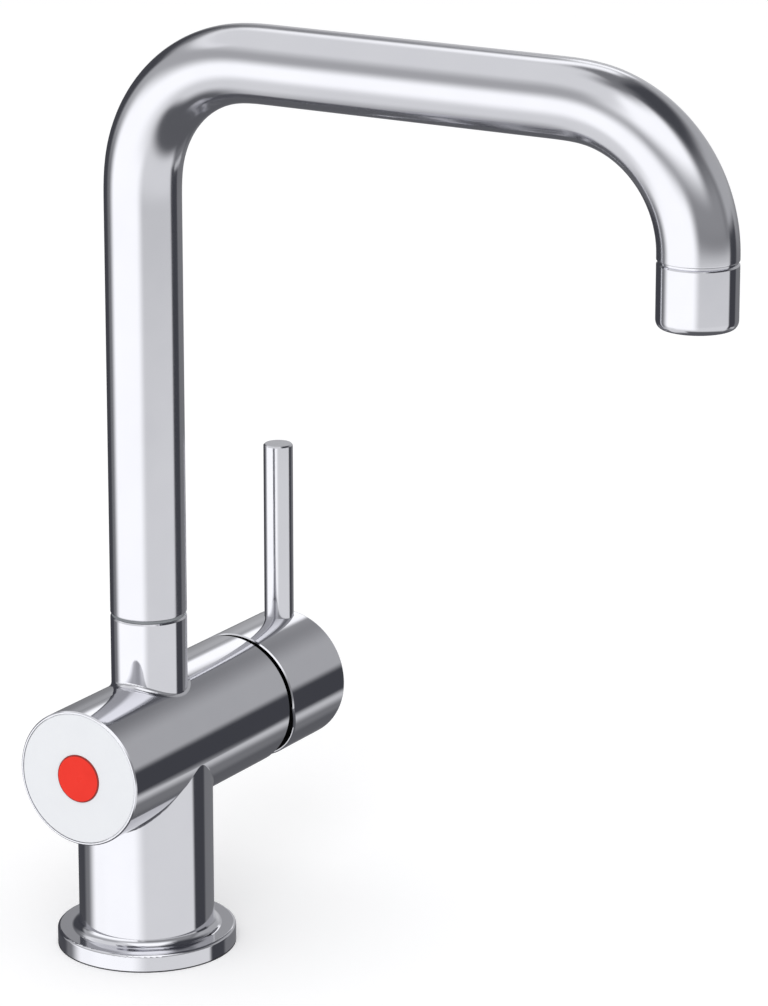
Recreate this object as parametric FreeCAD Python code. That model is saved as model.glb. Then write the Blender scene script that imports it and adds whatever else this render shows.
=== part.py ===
import FreeCAD, Part
import math
import os

# Sensor kitchen tap, in millimetres.
# The deck is the plane z = 0 and the column stands on the z axis.
# The spout points along -y, the sensor is at the barrel's -x end and the lever at its +x end.

# Outer form of the casting
barrel_diameter = 45.0
barrel_length = 92.0
barrel_height = 68.0
sensor_end = 38.0
saddle_step = 0.2
saddle_round = 1.2
rim_chamfer = 0.4
flange_diameter = 59.0
flange_height = 6.0
flange_cove = 2.5
flange_round = 0.9
spout_diameter = 25.0
spout_offset = 3.5
neck_top = 112.5
neck_round = 1.6
neck_chamfer = 0.7

# Spout tube
spout_wall = 1.5
spout_reach = 198.0
spout_rise = 298.5
bend_radius = 43.0
outlet_straight = 1.0

# Swivel between neck and spout
swivel_range = 70.0
slide_ring_height = 0.9
joint_recess = 0.4
neck_wall = 3.0
spigot_wall = 3.2
spigot_depth = 24.0
spigot_grip = 20.0
spigot_floor_gap = 1.0
seal_section = 2.0
seal_spacing = 16.0
stop_depth = 12.3
stop_screw_radius = 2.5
stop_slot_depth = 2.1
hex_socket = 1.25
hex_depth = 2.0

# Outlet
nipple_flange = 0.6
nipple_wall = 2.0
aerator_length = 20.0
aerator_wall = 1.5
aerator_bevel_height = 2.6
aerator_bevel_width = 1.7
aerator_chamfer = 0.7
aerator_lip = 3.0
aerator_lip_width = 1.4
aerator_recess = 1.4
insert_height = 5.0
insert_wall = 2.0
cell_depth = 2.2
cell_wall = 0.45
cell_rings = 4
jet_plate_height = 1.0
jet_radius = 0.6
jet_circle = 6.5
jet_count = 12
washer_height = 1.5

# Base
well_wall = 4.3
web_height = 36.0
gasket_width = 4.0
gasket_depth = 2.0
gasket_margin = 2.5
waterway_radius = 2.8
hose_socket_radius = 4.5
hose_socket_depth = 12.0
hose_socket_x = 9.0
stud_socket_radius = 3.4
stud_socket_depth = 12.0
stud_socket_x = -4.0
lead_margin = 0.6
lead_radius = 2.0
lead_wall = 1.0
grommet_radius = 3.4
grommet_depth = 6.0
grommet_flange = 1.0

# Sensor
sensor_rim = 0.8
face_thickness = 2.5
face_chamfer = 0.3
face_shelf = 2.2
face_seal_thickness = 0.8
window_radius = 7.9
window_flange = 1.5
window_flange_height = 1.2
window_proud = 0.4
window_round = 0.3
cup_depth = 7.5
cup_wall = 1.2
cup_floor = 1.5
board_thickness = 1.6
board_step = 0.4
board_step_width = 1.5
led_radius = 1.5
led_length = 3.4
led_spread = 3.5

# Solenoid valve
solenoid_radius = 13.0
coil_length = 13.0
yoke_wall = 1.0
bobbin_wall = 0.8
winding_margin = 0.8
pin_radius = 0.5
pin_spread = 7.5
tube_radius = 4.6
tube_wall = 0.5
guide_flange = 2.5
core_length = 3.7
plunger_stroke = 1.5
spring_bore_depth = 4.0
spring_radius = 2.0
spring_wire = 0.5
spring_turns = 5
diaphragm_thickness = 1.5
pilot_bead_radius = 2.0
pilot_bead = 0.5
pilot_radius = 0.6
seat_radius = 4.5
seat_wall = 2.0
chamber_width = 5.0
chamber_depth = 5.0
neck_waterway_radius = 5.0

# Cartridge
cartridge_diameter = 35.0
pocket_depth = 32.0
base_thickness = 4.0
disc_thickness = 4.0
slider_thickness = 4.0
housing_wall = 2.0
housing_length = 20.0
collar_bore = 9.5
collar_outer = 15.2
collar_reach = 6.0
nut_step = 1.2
nut_length = 6.5
spanner_slots = 4
spanner_slot_width = 4.0
spanner_slot_depth = 1.5
sleeve_wall = 1.8
sleeve_inset = 0.5
sleeve_skirt = 1.0
port_radius = 2.3
port_spread = 7.0
port_rise = 5.0
mixed_drop = 9.0
port_seal_width = 1.0
port_seal_depth = 1.2
moving_disc_radius = 12.2
mixing_radius = 7.5
mixing_drop = 2.3
mixing_lobe_radius = 3.2
mixing_lobe_drop = 7.8
mixing_depth = 2.5
pivot_depth = 4.0
pivot_radius = 1.6
stem_width = 7.0
stem_arm = 9.0
stem_neck_radius = 2.0
stem_neck_length = 3.5
stem_end_gap = 0.5
ball_radius = 3.0
slider_boss_wall = 2.2
slider_boss_height = 4.3
tilt_range = 18.0
tilt_steps = 4

# Hub and lever
hub_gap = 2.2
hub_length = 33.0
hub_wall = 2.5
hub_rim_wall = 1.0
hub_rim_depth = 9.5
hub_cavity = 16.8
hub_boss_radius = 8.0
hub_boss_start = 8.8
hub_socket_depth = 11.5
hub_chamfer = 0.4
hub_round = 0.8
relief_margin = 1.5
lever_diameter = 10.0
lever_inset = 6.2
lever_top = 151.0
lever_chamfer = 0.5
lever_seat = 2.0
lever_stud_radius = 3.0
lever_stud_length = 10.0
hub_screw_radius = 2.5
hub_screw_x = 13.3
hub_plug_radius = 3.0
hub_plug_length = 2.6

# Fits
running_fit = 0.06
seat_fit = 0.05
assembly_gap = 0.1
free_gap = 0.3

# Length by which a cut runs past the face that it opens
overrun = 1.0

# Width across the flats of a six-sided cell over its corner radius
flats_ratio = math.sqrt(3)

# Radii that follow from the driving dimensions
barrel_r = barrel_diameter / 2
column_r = barrel_r - saddle_step
flange_r = flange_diameter / 2
spout_r = spout_diameter / 2
spout_bore_r = spout_r - spout_wall
well_r = column_r - well_wall
neck_bore_r = spout_r - neck_wall
spigot_r = neck_bore_r - running_fit
spigot_bore_r = spigot_r - spigot_wall
slot_floor_r = spigot_r - stop_slot_depth
joint_r = spout_r - joint_recess
outlet_bore_r = spout_r - aerator_wall
insert_r = outlet_bore_r - assembly_gap
lip_r = outlet_bore_r - aerator_lip_width
counterbore_r = barrel_r - sensor_rim
sensor_pocket_r = counterbore_r - face_shelf
cup_r = sensor_pocket_r - free_gap
cup_bore_r = cup_r - cup_wall
window_flange_r = window_radius + window_flange
solenoid_fit_r = solenoid_radius - free_gap
yoke_bore_r = solenoid_fit_r - yoke_wall
bobbin_r = yoke_bore_r - assembly_gap
bobbin_bore_r = tube_radius + assembly_gap
bobbin_core_r = bobbin_bore_r + bobbin_wall
tube_bore_r = tube_radius - tube_wall
chamber_r = seat_radius + seat_wall + chamber_width
cartridge_r = cartridge_diameter / 2
cartridge_pocket_r = cartridge_r + free_gap
nut_bore_r = cartridge_pocket_r + nut_step
housing_bore_r = cartridge_r - housing_wall
collar_r = collar_bore - running_fit
sleeve_r = collar_outer + sleeve_wall
socket_r = ball_radius + free_gap
slider_boss_r = socket_r + slider_boss_wall
slide_travel = stem_arm * math.radians(tilt_range)
hub_bore_r = barrel_r - hub_wall
lever_r = lever_diameter / 2

# Places along the barrel, from the sensor end inwards
face_x = -sensor_end
face_back_x = face_x + face_thickness
shelf_x = face_back_x + face_seal_thickness
cup_back_x = face_back_x + cup_depth
cup_floor_x = cup_back_x - cup_floor
board_back_x = cup_floor_x - board_step
board_front_x = board_back_x - board_thickness
window_step_x = face_back_x - window_flange_height
yoke_x = cup_back_x + yoke_wall
guide_x = cup_back_x + coil_length
diaphragm_x = guide_x + guide_flange
seat_x = diaphragm_x + diaphragm_thickness
chamber_x = seat_x + chamber_depth
core_x = yoke_x + tube_wall
core_face_x = core_x + core_length
plunger_x = core_face_x + plunger_stroke
spring_floor_x = plunger_x + spring_bore_depth
pilot_x = diaphragm_x - pilot_bead

# Places along the barrel, from the valve end inwards and outwards
valve_end = barrel_length - sensor_end
pocket_x = valve_end - pocket_depth
base_x = pocket_x + base_thickness
sliding_face_x = base_x + disc_thickness
moving_back_x = sliding_face_x + disc_thickness
slider_x = moving_back_x + slider_thickness
slider_boss_x = slider_x + slider_boss_height
shoulder_x = base_x + housing_length
nut_x = shoulder_x + nut_length
collar_end_x = valve_end + collar_reach
pivot_x = valve_end - pivot_depth
ball_x = pivot_x - stem_arm
stem_x = ball_x + stem_neck_length
hub_x = valve_end + hub_gap
hub_end_x = hub_x + hub_length
hub_cavity_x = hub_x + hub_cavity
hub_boss_x = hub_x + hub_boss_start
hub_socket_x = hub_boss_x + hub_socket_depth
stem_end_x = hub_socket_x - stem_end_gap
lever_x = hub_end_x - lever_inset
hub_screw_place_x = hub_x + hub_screw_x

# Place of the lead's grommet, just inside the wall of the well
lead_x = lead_margin + grommet_radius + grommet_flange - well_r

# Heights
neck_floor_z = neck_top - spigot_depth
spout_foot_z = neck_top + slide_ring_height
spigot_foot_z = neck_floor_z + spigot_floor_gap
stop_z = neck_top - stop_depth
seal_heights = [stop_z - seal_spacing / 2, stop_z + seal_spacing / 2]
bend_z = spout_rise - bend_radius
tube_end_z = bend_z - outlet_straight
aerator_top_z = tube_end_z - nipple_flange
aerator_foot_z = aerator_top_z - aerator_length
insert_z = aerator_foot_z + aerator_lip
jet_plate_z = insert_z + insert_height
washer_z = jet_plate_z + jet_plate_height
nipple_foot_z = washer_z + washer_height
lead_z = barrel_height - solenoid_radius - lead_wall - lead_radius
port_z = barrel_height + port_rise
mixed_z = barrel_height - mixed_drop
lever_seat_z = barrel_height + barrel_r - lever_seat

V = FreeCAD.Vector
UP = V(0, 0, 1)
ACROSS = V(1, 0, 0)
BACK = V(0, 1, 0)
CLOSE = 1e-4


def revolved(corners, point, axis):
    """Full turn of a closed outline about an axis."""
    outline = Part.Face(Part.makePolygon(corners + corners[:1]))
    solid = outline.revolve(point, axis, 360)
    if solid.Volume < 0:
        solid.reverse()
    return solid


def upright(profile, x=0.0, y=0.0):
    """Turned piece on the vertical line at x, y from (radius, height) corners."""
    corners = [V(x + radius, y, z) for radius, z in profile]
    return revolved(corners, V(x, y, 0), UP)


def along_barrel(profile):
    """Turned piece on the barrel axis from (x, radius) corners."""
    corners = [V(x, 0, barrel_height + radius) for x, radius in profile]
    return revolved(corners, V(0, 0, barrel_height), ACROSS)


def rod_up(radius, z_low, z_high, x=0.0, y=0.0):
    """Upright cylinder between two heights."""
    return Part.makeCylinder(radius, z_high - z_low, V(x, y, z_low), UP)


def rod_along(radius, x_low, x_high, y=0.0, rise=0.0):
    """Cylinder along the barrel, set off from the barrel axis by y and rise."""
    start = V(x_low, y, barrel_height + rise)
    return Part.makeCylinder(radius, x_high - x_low, start, ACROSS)


def circles_at(shape, radius, place, direction):
    """Round edges of a radius whose centre lies at a place along a direction."""
    found = []
    for edge in shape.Edges:
        if not isinstance(edge.Curve, Part.Circle):
            continue
        if abs(edge.Curve.Radius - radius) > CLOSE:
            continue
        if abs(edge.Curve.Center.dot(direction) - place) < CLOSE:
            found.append(edge)
    return found


def hexagon(radius, centre, direction, depth):
    """Six-sided prism with the given corner radius."""
    side = V(0, 1, 0) if abs(direction.y) < CLOSE else V(1, 0, 0)
    turn = FreeCAD.Rotation(direction, 60)
    corners = [centre + side * radius]
    for _ in range(6):
        corners.append(centre + turn.multVec(corners[-1] - centre))
    return Part.Face(Part.makePolygon(corners)).extrude(direction * depth)


def cut_all(shape, tools):
    """Shape with every tool cut away."""
    for tool in tools:
        shape = shape.cut(tool)
    return shape


def column_and_flange():
    """Column with its flange, cove and rounded flange edge."""
    column = upright([
        (0, 0),
        (flange_r, 0),
        (flange_r, flange_height),
        (column_r, flange_height),
        (column_r, barrel_height),
        (0, barrel_height),
    ])
    column = column.makeFillet(flange_cove, circles_at(column, column_r, flange_height, UP))
    return column.makeFillet(flange_round, circles_at(column, flange_r, flange_height, UP))


def casting_blank():
    """Column, barrel and neck as one casting with rounded joins, before boring."""
    barrel = along_barrel([
        (face_x, 0),
        (face_x, barrel_r - rim_chamfer),
        (face_x + rim_chamfer, barrel_r),
        (valve_end - rim_chamfer, barrel_r),
        (valve_end, barrel_r - rim_chamfer),
        (valve_end, 0),
    ])
    neck = upright([
        (0, barrel_height),
        (spout_r, barrel_height),
        (spout_r, neck_top - neck_chamfer),
        (spout_r - neck_chamfer, neck_top),
        (0, neck_top),
    ], spout_offset)
    blank = column_and_flange().fuse(barrel).fuse(neck).removeSplitter()
    joins = [edge for edge in blank.Edges if isinstance(edge.Curve, Part.BSplineCurve)]
    low_joins = [edge for edge in joins if edge.BoundBox.ZMax < barrel_height]
    blank = blank.makeFillet(saddle_round, low_joins)
    joins = [edge for edge in blank.Edges if isinstance(edge.Curve, Part.BSplineCurve)]
    foot = [edge for edge in joins if edge.BoundBox.ZMin > barrel_height + spout_r / 2]
    return blank.makeFillet(neck_round, foot)


def base_bores():
    """Hose well, gasket groove, hose and stud sockets and the lead's way up."""
    groove_r = flange_r - gasket_margin
    groove = upright([
        (groove_r - gasket_width, -overrun),
        (groove_r, -overrun),
        (groove_r, gasket_depth),
        (groove_r - gasket_width, gasket_depth),
    ])
    bores = [rod_up(well_r, -overrun, web_height), groove]
    for side in (-1, 1):
        y = side * port_spread
        socket_top = web_height + hose_socket_depth
        bores.append(rod_up(hose_socket_radius, web_height - overrun, socket_top, hose_socket_x, y))
        bores.append(rod_up(waterway_radius, web_height, port_z, hose_socket_x, y))
    stud_top = web_height + stud_socket_depth
    bores.append(rod_up(stud_socket_radius, web_height - overrun, stud_top, stud_socket_x))
    bores.append(rod_up(grommet_radius, web_height - overrun, web_height + grommet_depth, lead_x))
    bores.append(rod_up(lead_radius, web_height, lead_z, lead_x))
    bores.append(rod_along(lead_radius, cup_back_x - overrun, lead_x, rise=lead_z - barrel_height))
    return bores


def sensor_bores():
    """Seat of the face, pockets of sensor and solenoid, valve chamber and valve seat."""
    pockets = along_barrel([
        (face_x - overrun, 0),
        (face_x - overrun, counterbore_r),
        (shelf_x, counterbore_r),
        (shelf_x, sensor_pocket_r),
        (cup_back_x, sensor_pocket_r),
        (cup_back_x, solenoid_radius),
        (seat_x, solenoid_radius),
        (seat_x, 0),
    ])
    chamber = along_barrel([
        (seat_x - overrun, seat_radius + seat_wall),
        (seat_x - overrun, chamber_r),
        (chamber_x, chamber_r),
        (chamber_x, seat_radius + seat_wall),
    ])
    return [pockets, chamber, rod_along(seat_radius, seat_x - overrun, spout_offset)]


def valve_bores():
    """Cartridge pocket with the nut's seat and the drillings to its three ports."""
    pocket = along_barrel([
        (pocket_x, 0),
        (pocket_x, cartridge_pocket_r),
        (shoulder_x, cartridge_pocket_r),
        (shoulder_x, nut_bore_r),
        (valve_end + overrun, nut_bore_r),
        (valve_end + overrun, 0),
    ])
    bores = [pocket]
    for side in (-1, 1):
        y = side * port_spread
        bores.append(rod_along(waterway_radius, hose_socket_x, pocket_x + overrun, y, port_rise))
    mixed = rod_along(waterway_radius, seat_x + overrun, pocket_x + overrun, rise=-mixed_drop)
    bores.append(mixed)
    return bores


def neck_bores():
    """Spigot bore, waterway and the stop screw's hole at the back of the neck."""
    top = neck_top + overrun
    spigot_bore = rod_up(neck_bore_r, neck_floor_z, top, spout_offset)
    waterway = rod_up(neck_waterway_radius, barrel_height, top, spout_offset)
    screw_hole = Part.makeCylinder(
        stop_screw_radius + seat_fit, spout_r + overrun, V(spout_offset, 0, stop_z), BACK)
    return [spigot_bore, waterway, screw_hole]


def tap_body():
    """The casting: flange, column, barrel and neck with all bores."""
    bores = base_bores() + sensor_bores() + valve_bores() + neck_bores()
    return cut_all(casting_blank(), bores)


def base_gasket():
    """Square ring that seals the flange on the deck."""
    outer = flange_r - gasket_margin - assembly_gap
    inner = flange_r - gasket_margin - gasket_width + assembly_gap
    return upright([(inner, 0), (outer, 0), (outer, gasket_depth), (inner, gasket_depth)])


def lead_grommet():
    """Flanged rubber sleeve where the sensor lead leaves the casting."""
    outer = grommet_radius - seat_fit
    flange = grommet_radius + grommet_flange
    return upright([
        (lead_radius, web_height - grommet_flange),
        (flange, web_height - grommet_flange),
        (flange, web_height),
        (outer, web_height),
        (outer, web_height + grommet_depth),
        (lead_radius, web_height + grommet_depth),
    ], lead_x)


def sensor_face():
    """Pale disc that closes the barrel, with the window's stepped hole."""
    outer = counterbore_r - assembly_gap
    hole = window_radius + assembly_gap
    step = window_flange_r + assembly_gap
    return along_barrel([
        (face_x, hole),
        (face_x, outer - face_chamfer),
        (face_x + face_chamfer, outer),
        (face_back_x, outer),
        (face_back_x, step),
        (window_step_x, step),
        (window_step_x, hole),
    ])


def sensor_window():
    """Red window, slightly proud, held by its flange behind the face."""
    front_x = face_x - window_proud
    window = along_barrel([
        (front_x, 0),
        (front_x, window_radius),
        (window_step_x, window_radius),
        (window_step_x, window_flange_r),
        (face_back_x, window_flange_r),
        (face_back_x, 0),
    ])
    return window.makeFillet(window_round, circles_at(window, window_radius, front_x, ACROSS))


def face_seal():
    """Flat ring between the face and its shelf."""
    inner = sensor_pocket_r + assembly_gap
    outer = counterbore_r - assembly_gap
    return along_barrel([
        (face_back_x, inner), (face_back_x, outer), (shelf_x, outer), (shelf_x, inner)])


def pin_places():
    """Sideways places of the two contact pins."""
    return (-pin_spread, pin_spread)


def sensor_cup():
    """Black cup behind the face, with a step for the board and holes for the pins."""
    step_r = cup_bore_r - board_step_width
    cup = along_barrel([
        (face_back_x, cup_bore_r),
        (face_back_x, cup_r),
        (cup_back_x, cup_r),
        (cup_back_x, 0),
        (cup_floor_x, 0),
        (cup_floor_x, step_r),
        (board_back_x, step_r),
        (board_back_x, cup_bore_r),
    ])
    holes = [rod_along(pin_radius + free_gap, cup_floor_x - overrun, cup_back_x + overrun, y)
             for y in pin_places()]
    lead_hole = rod_along(
        lead_radius, cup_floor_x - overrun, cup_back_x + overrun, rise=lead_z - barrel_height)
    return cut_all(cup, holes + [lead_hole])


def sensor_board():
    """Round circuit board."""
    return rod_along(cup_bore_r - assembly_gap, board_front_x, board_back_x)


def led_holder():
    """Black block that holds the two diodes apart behind the window."""
    block = rod_along(window_flange_r, face_back_x, board_front_x)
    holes = [rod_along(led_radius + assembly_gap, face_back_x - overrun, board_front_x + overrun, y)
             for y in (-led_spread, led_spread)]
    return cut_all(block, holes)


def diode(y):
    """Infrared diode with a round nose, standing on the board."""
    dome_x = board_front_x - led_length + led_radius
    body = rod_along(led_radius, dome_x, board_front_x, y)
    dome = Part.makeSphere(led_radius, V(dome_x, y, barrel_height))
    return body.fuse(dome).removeSplitter()


def coil_pins():
    """Two contact pins from the board to the coil."""
    return Part.makeCompound([rod_along(pin_radius, board_back_x, yoke_x, y) for y in pin_places()])


def coil_bobbin():
    """Flanged spool of the coil."""
    left = yoke_x + bobbin_wall
    right = guide_x - bobbin_wall
    return along_barrel([
        (yoke_x, bobbin_bore_r),
        (yoke_x, bobbin_r),
        (left, bobbin_r),
        (left, bobbin_core_r),
        (right, bobbin_core_r),
        (right, bobbin_r),
        (guide_x, bobbin_r),
        (guide_x, bobbin_bore_r),
    ])


def coil_winding():
    """Copper winding between the spool's flanges, as one ring."""
    left = yoke_x + bobbin_wall
    right = guide_x - bobbin_wall
    outer = bobbin_r - winding_margin
    return along_barrel([
        (left, bobbin_core_r), (left, outer), (right, outer), (right, bobbin_core_r)])


def coil_yoke():
    """Steel cup round the coil."""
    yoke = along_barrel([
        (cup_back_x, 0),
        (cup_back_x, solenoid_fit_r),
        (guide_x, solenoid_fit_r),
        (guide_x, yoke_bore_r),
        (yoke_x, yoke_bore_r),
        (yoke_x, 0),
    ])
    holes = [rod_along(pin_radius + free_gap, cup_back_x - overrun, yoke_x + overrun, y)
             for y in pin_places()]
    return cut_all(yoke, holes)


def guide_tube():
    """Closed tube for the plunger, with the flange that clamps the diaphragm."""
    return along_barrel([
        (yoke_x, 0),
        (yoke_x, tube_radius),
        (guide_x, tube_radius),
        (guide_x, solenoid_fit_r),
        (diaphragm_x, solenoid_fit_r),
        (diaphragm_x, tube_bore_r),
        (core_x, tube_bore_r),
        (core_x, 0),
    ])


def fixed_core():
    """Iron core at the closed end of the guide tube."""
    return rod_along(tube_bore_r - seat_fit, core_x, core_face_x)


def plunger():
    """Iron plunger with the spring's bore, resting on the pilot bead."""
    radius = tube_bore_r - running_fit
    bore = spring_radius + free_gap
    return along_barrel([
        (plunger_x, bore),
        (plunger_x, radius),
        (pilot_x, radius),
        (pilot_x, 0),
        (spring_floor_x, 0),
        (spring_floor_x, bore),
    ])


def plunger_spring():
    """Wire spring from the core to the floor of the plunger's bore."""
    coil_r = spring_radius - spring_wire / 2
    start_x = core_face_x + spring_wire / 2
    pitch = (spring_floor_x - core_face_x - spring_wire) / spring_turns

    def place(turn):
        angle = 2 * math.pi * turn
        y = coil_r * math.cos(angle)
        z = barrel_height + coil_r * math.sin(angle)
        return V(start_x + pitch * turn, y, z)

    arcs = []
    for quarter in range(4 * spring_turns):
        turn = quarter / 4
        arcs.append(Part.Arc(place(turn), place(turn + 1 / 8), place(turn + 1 / 4)).toShape())
    first = arcs[0]
    section = Part.Circle(place(0), first.tangentAt(first.FirstParameter), spring_wire / 2).toShape()
    return Part.Wire(arcs).makePipeShell([Part.Wire([section])], True, False)


def diaphragm():
    """Rubber disc clamped at its rim, with a pilot hole in its bead."""
    return along_barrel([
        (pilot_x, pilot_radius),
        (pilot_x, pilot_bead_radius),
        (diaphragm_x, pilot_bead_radius),
        (diaphragm_x, solenoid_fit_r),
        (seat_x, solenoid_fit_r),
        (seat_x, pilot_radius),
    ])


def port_places():
    """Sideways place and rise of the hot, cold and mixed ports."""
    return ((-port_spread, port_rise), (port_spread, port_rise), (0.0, -mixed_drop))


def ported_disc(radius, x_low, x_high):
    """Disc on the barrel axis with the three ports."""
    ports = [rod_along(port_radius, x_low - overrun, x_high + overrun, y, rise)
             for y, rise in port_places()]
    return cut_all(rod_along(radius, x_low, x_high), ports)


def cartridge_base():
    """Floor of the cartridge with a seal groove round each port."""
    groove_r = port_radius + port_seal_width
    groove_x = pocket_x + port_seal_depth
    grooves = [rod_along(groove_r, pocket_x - overrun, groove_x, y, rise)
               for y, rise in port_places()]
    return cut_all(ported_disc(cartridge_r, pocket_x, base_x), grooves)


def cartridge_seals():
    """Three rubber rings between the cartridge and the casting."""
    rings = []
    for y, rise in port_places():
        outer = rod_along(port_radius + port_seal_width - assembly_gap, pocket_x,
                          pocket_x + port_seal_depth, y, rise)
        inner = rod_along(port_radius, pocket_x - overrun, base_x, y, rise)
        rings.append(outer.cut(inner))
    return Part.makeCompound(rings)


def fixed_disc():
    """Fixed ceramic disc."""
    return ported_disc(housing_bore_r - assembly_gap, base_x, sliding_face_x)


def moving_disc():
    """Ceramic disc whose mixing chamber joins hot and cold to the mixed port as it slides up."""
    disc = rod_along(moving_disc_radius, sliding_face_x, moving_back_x)
    front_x = sliding_face_x - overrun
    floor_x = sliding_face_x + mixing_depth
    chamber = rod_along(mixing_radius, front_x, floor_x, rise=-mixing_drop)
    lobe = rod_along(mixing_lobe_radius, front_x, floor_x, rise=-mixing_lobe_drop)
    return cut_all(disc, [chamber, lobe])


def disc_slider():
    """Carrier of the moving disc, with the socket for the stem's ball."""
    plate = along_barrel([
        (moving_back_x, 0),
        (moving_back_x, moving_disc_radius),
        (slider_x, moving_disc_radius),
        (slider_x, slider_boss_r),
        (slider_boss_x, slider_boss_r),
        (slider_boss_x, 0),
    ])
    floor_x = ball_x - ball_radius - free_gap
    return plate.cut(rod_along(socket_r, floor_x, slider_boss_x + overrun))


def cartridge_housing():
    """Shell of the cartridge with the collar that carries the turning piece."""
    return along_barrel([
        (base_x, housing_bore_r),
        (base_x, cartridge_r),
        (shoulder_x, cartridge_r),
        (shoulder_x, collar_outer),
        (collar_end_x, collar_outer),
        (collar_end_x, collar_bore),
        (shoulder_x - free_gap, collar_bore),
        (shoulder_x - free_gap, housing_bore_r),
    ])


def stem_blade(gap, side_gap):
    """Square blade of the stem, grown by a gap above and below and at its sides."""
    half = stem_width / 2
    low = V(stem_x - gap, -half - side_gap, barrel_height - half - gap)
    length = stem_end_x - stem_x + 2 * gap
    return Part.makeBox(length, stem_width + 2 * side_gap, stem_width + 2 * gap, low)


def turning_collar():
    """Turning piece of the cartridge, with the slot in which the stem tilts."""
    flange_x = shoulder_x - 2 * free_gap
    flange_r_inner = slider_boss_r + slide_travel + 2 * free_gap
    collar = along_barrel([
        (slider_x + free_gap, flange_r_inner),
        (slider_x + free_gap, housing_bore_r - free_gap),
        (flange_x, housing_bore_r - free_gap),
        (flange_x, collar_r),
        (collar_end_x, collar_r),
        (collar_end_x, 0),
        (stem_x, 0),
        (stem_x, flange_r_inner),
    ])
    pivot = V(pivot_x, 0, barrel_height)
    for step in range(tilt_steps + 1):
        blade = stem_blade(free_gap, assembly_gap)
        blade.rotate(pivot, BACK, tilt_range * step / tilt_steps)
        collar = collar.cut(blade)
    return collar.cut(pivot_bar(pivot_radius + seat_fit / 2, collar_r + overrun))


def pivot_bar(radius, half_length):
    """Bar across the cartridge at the tilt axis."""
    return Part.makeCylinder(radius, 2 * half_length, V(pivot_x, -half_length, barrel_height), BACK)


def pivot_pin():
    """Pin on which the stem tilts."""
    half_length = math.sqrt(collar_r ** 2 - pivot_radius ** 2) - free_gap
    return pivot_bar(pivot_radius, half_length)


def stem():
    """Stem of the cartridge: square blade, neck and the ball that drives the slider."""
    ball = Part.makeSphere(ball_radius, V(ball_x, 0, barrel_height))
    neck = rod_along(stem_neck_radius, ball_x, stem_x + overrun)
    lever = ball.fuse(neck).fuse(stem_blade(0, 0)).removeSplitter()
    return lever.cut(pivot_bar(pivot_radius + running_fit, stem_width))


def retaining_nut():
    """Ring nut that holds the cartridge, with slots for a pin spanner."""
    inner = collar_outer + free_gap
    outer = nut_bore_r - seat_fit
    nut = along_barrel([(shoulder_x, inner), (shoulder_x, outer), (nut_x, outer), (nut_x, inner)])
    axis_point = V(nut_x, 0, barrel_height)
    for number in range(spanner_slots):
        corner = V(nut_x - spanner_slot_depth, -spanner_slot_width / 2, barrel_height + sleeve_r)
        slot = Part.makeBox(spanner_slot_depth + overrun, spanner_slot_width, barrel_r, corner)
        slot.rotate(axis_point, ACROSS, 360 / spanner_slots * number)
        nut = nut.cut(slot)
    return nut


def cover_sleeve():
    """Black sleeve on the cartridge's collar that fills the gap under the hub and hides the nut."""
    inner = collar_outer + seat_fit
    end_x = collar_end_x - sleeve_inset
    skirt_r = nut_bore_r - assembly_gap
    skirt_x = nut_x + sleeve_skirt
    return along_barrel([
        (nut_x, inner),
        (nut_x, skirt_r),
        (skirt_x, skirt_r),
        (skirt_x, sleeve_r),
        (end_x, sleeve_r),
        (end_x, inner),
    ])


def relief_wedge():
    """Wedge below the barrel axis that lets the hub tilt towards the barrel."""
    drop = barrel_diameter
    run = drop * math.tan(math.radians(tilt_range + relief_margin))
    corners = [
        V(hub_x, 0, barrel_height),
        V(hub_x + run, 0, barrel_height - drop),
        V(hub_x - overrun, 0, barrel_height - drop),
        V(hub_x - overrun, 0, barrel_height),
    ]
    outline = Part.Face(Part.makePolygon(corners + corners[:1]))
    wedge = outline.extrude(BACK * 2 * barrel_diameter)
    wedge.translate(BACK * -barrel_diameter)
    return wedge


def hub_edges(hub):
    """Outer edges of the hub's open end: the upper half circle and the relief's curve."""
    found = []
    for edge in hub.Edges:
        middle = edge.valueAt((edge.FirstParameter + edge.LastParameter) / 2)
        reach = math.hypot(middle.y, middle.z - barrel_height)
        if abs(reach - barrel_r) < CLOSE and middle.x < lever_x and edge.Length > barrel_r:
            found.append(edge)
    return found


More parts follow.
